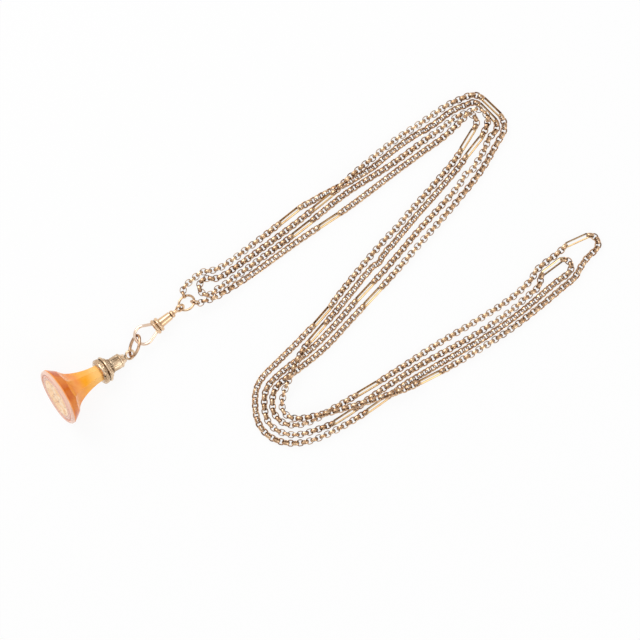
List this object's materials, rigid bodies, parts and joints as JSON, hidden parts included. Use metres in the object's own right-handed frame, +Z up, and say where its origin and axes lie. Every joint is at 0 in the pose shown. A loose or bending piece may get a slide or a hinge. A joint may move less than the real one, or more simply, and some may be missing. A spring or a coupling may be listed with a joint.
{
  "type": "pocket watch fob",
  "caption": "Long watch guard chain of belcher and bar links, closed on a ring that carries a swivel dog clip with a fluted stone seal in a chased mount.",
  "frame": {"origin": "Middle of the overall box in X and Y, and the floor that the chain lies on in Z.", "axes": "+Z is up, away from the floor. The chain's strands run mainly along X, with the seal at the -X end. It lies as it does when laid out in a zigzag on a table."},
  "size_m": [0.1808, 0.1146, 0.0188],
  "materials": {
    "rose_gold": "worn rose gold of the belcher links",
    "yellow_gold": "smooth yellow gold of the bar links and rings",
    "pale_rose_gold": "polished pale rose gold of the clip",
    "antique_gold": "chased yellow gold of the seal's mount",
    "amber_stone": "polished amber coloured hardstone",
    "spring_steel": "hardened spring steel",
    "cement": "setting cement"
  },
  "bodies": {
    "chain": {"belcher_run_01": "rose_gold", "belcher_run_02": "rose_gold", "belcher_run_03": "rose_gold", "belcher_run_04": "rose_gold", "belcher_run_05": "rose_gold", "belcher_run_06": "rose_gold", "belcher_run_07": "rose_gold", "belcher_run_08": "rose_gold", "belcher_run_09": "rose_gold", "belcher_run_10": "rose_gold", "belcher_run_11": "rose_gold", "belcher_run_12": "rose_gold", "belcher_run_13": "rose_gold", "belcher_run_14": "rose_gold", "belcher_run_15": "rose_gold", "belcher_run_16": "rose_gold", "belcher_run_17": "rose_gold", "belcher_run_18": "rose_gold", "belcher_run_19": "rose_gold", "bar_link_01": "yellow_gold", "bar_link_02": "yellow_gold", "bar_link_03": "yellow_gold", "bar_link_04": "yellow_gold", "bar_link_05": "yellow_gold", "bar_link_06": "yellow_gold", "bar_link_07": "yellow_gold", "bar_link_08": "yellow_gold", "bar_link_09": "yellow_gold", "bar_link_10": "yellow_gold", "bar_link_11": "yellow_gold", "bar_link_12": "yellow_gold", "bar_link_13": "yellow_gold", "bar_link_14": "yellow_gold", "bar_link_15": "yellow_gold", "bar_link_16": "yellow_gold", "bar_link_17": "yellow_gold", "bar_link_18": "yellow_gold", "end_ring": "yellow_gold", "chain_jump_ring": "yellow_gold"},
    "swivel": {"swivel_eye": "pale_rose_gold", "stem_washer": "pale_rose_gold"},
    "clip": {"clip_barrel": "pale_rose_gold", "clip_flange": "pale_rose_gold", "clip_hook": "pale_rose_gold", "gate_pin": "pale_rose_gold", "gate_spring": "spring_steel"},
    "gate": {"clip_gate": "pale_rose_gold"},
    "seal_link": {"seal_ring": "rose_gold"},
    "seal": {"seal_stone": "amber_stone", "seal_cement": "cement", "seal_collar": "antique_gold", "seal_step_ring": "antique_gold", "seal_cap": "antique_gold", "seal_pendant_eye": "antique_gold"}
  },
  "joints": [
    {"name": "swivel_swing", "type": "hinge", "parent": "chain", "child": "swivel", "pos_m": [-0.04594, -0.01242, 0.0027], "axis": [-0.5043, 0.6455, -0.5736], "range_deg": [-60, 60]},
    {"name": "swivel_spin", "type": "hinge", "parent": "swivel", "child": "clip", "pos_m": [-0.05316, -0.01807, 0.0027], "axis": [0.788, 0.6157, 0], "continuous": true},
    {"name": "gate_hinge", "type": "hinge", "parent": "clip", "child": "gate", "pos_m": [-0.05452, -0.01755, 0.0027], "axis": [0, 0, 1], "range_deg": [0, 32], "stiffness_Nm_per_rad": 0.004, "springref_deg": -11.46, "deforming": ["gate_spring"]},
    {"name": "ring_swing", "type": "hinge", "parent": "clip", "child": "seal_link", "pos_m": [-0.05986, -0.02333, 0.00231], "axis": [-0.6185, 0.6411, 0.4544], "range_deg": [-60, 80]},
    {"name": "seal_swing", "type": "hinge", "parent": "seal_link", "child": "seal", "pos_m": [-0.06212, -0.02734, 0.00137], "axis": [-0.2323, 0.7944, -0.5612], "range_deg": [-60, 60]}
  ]
}
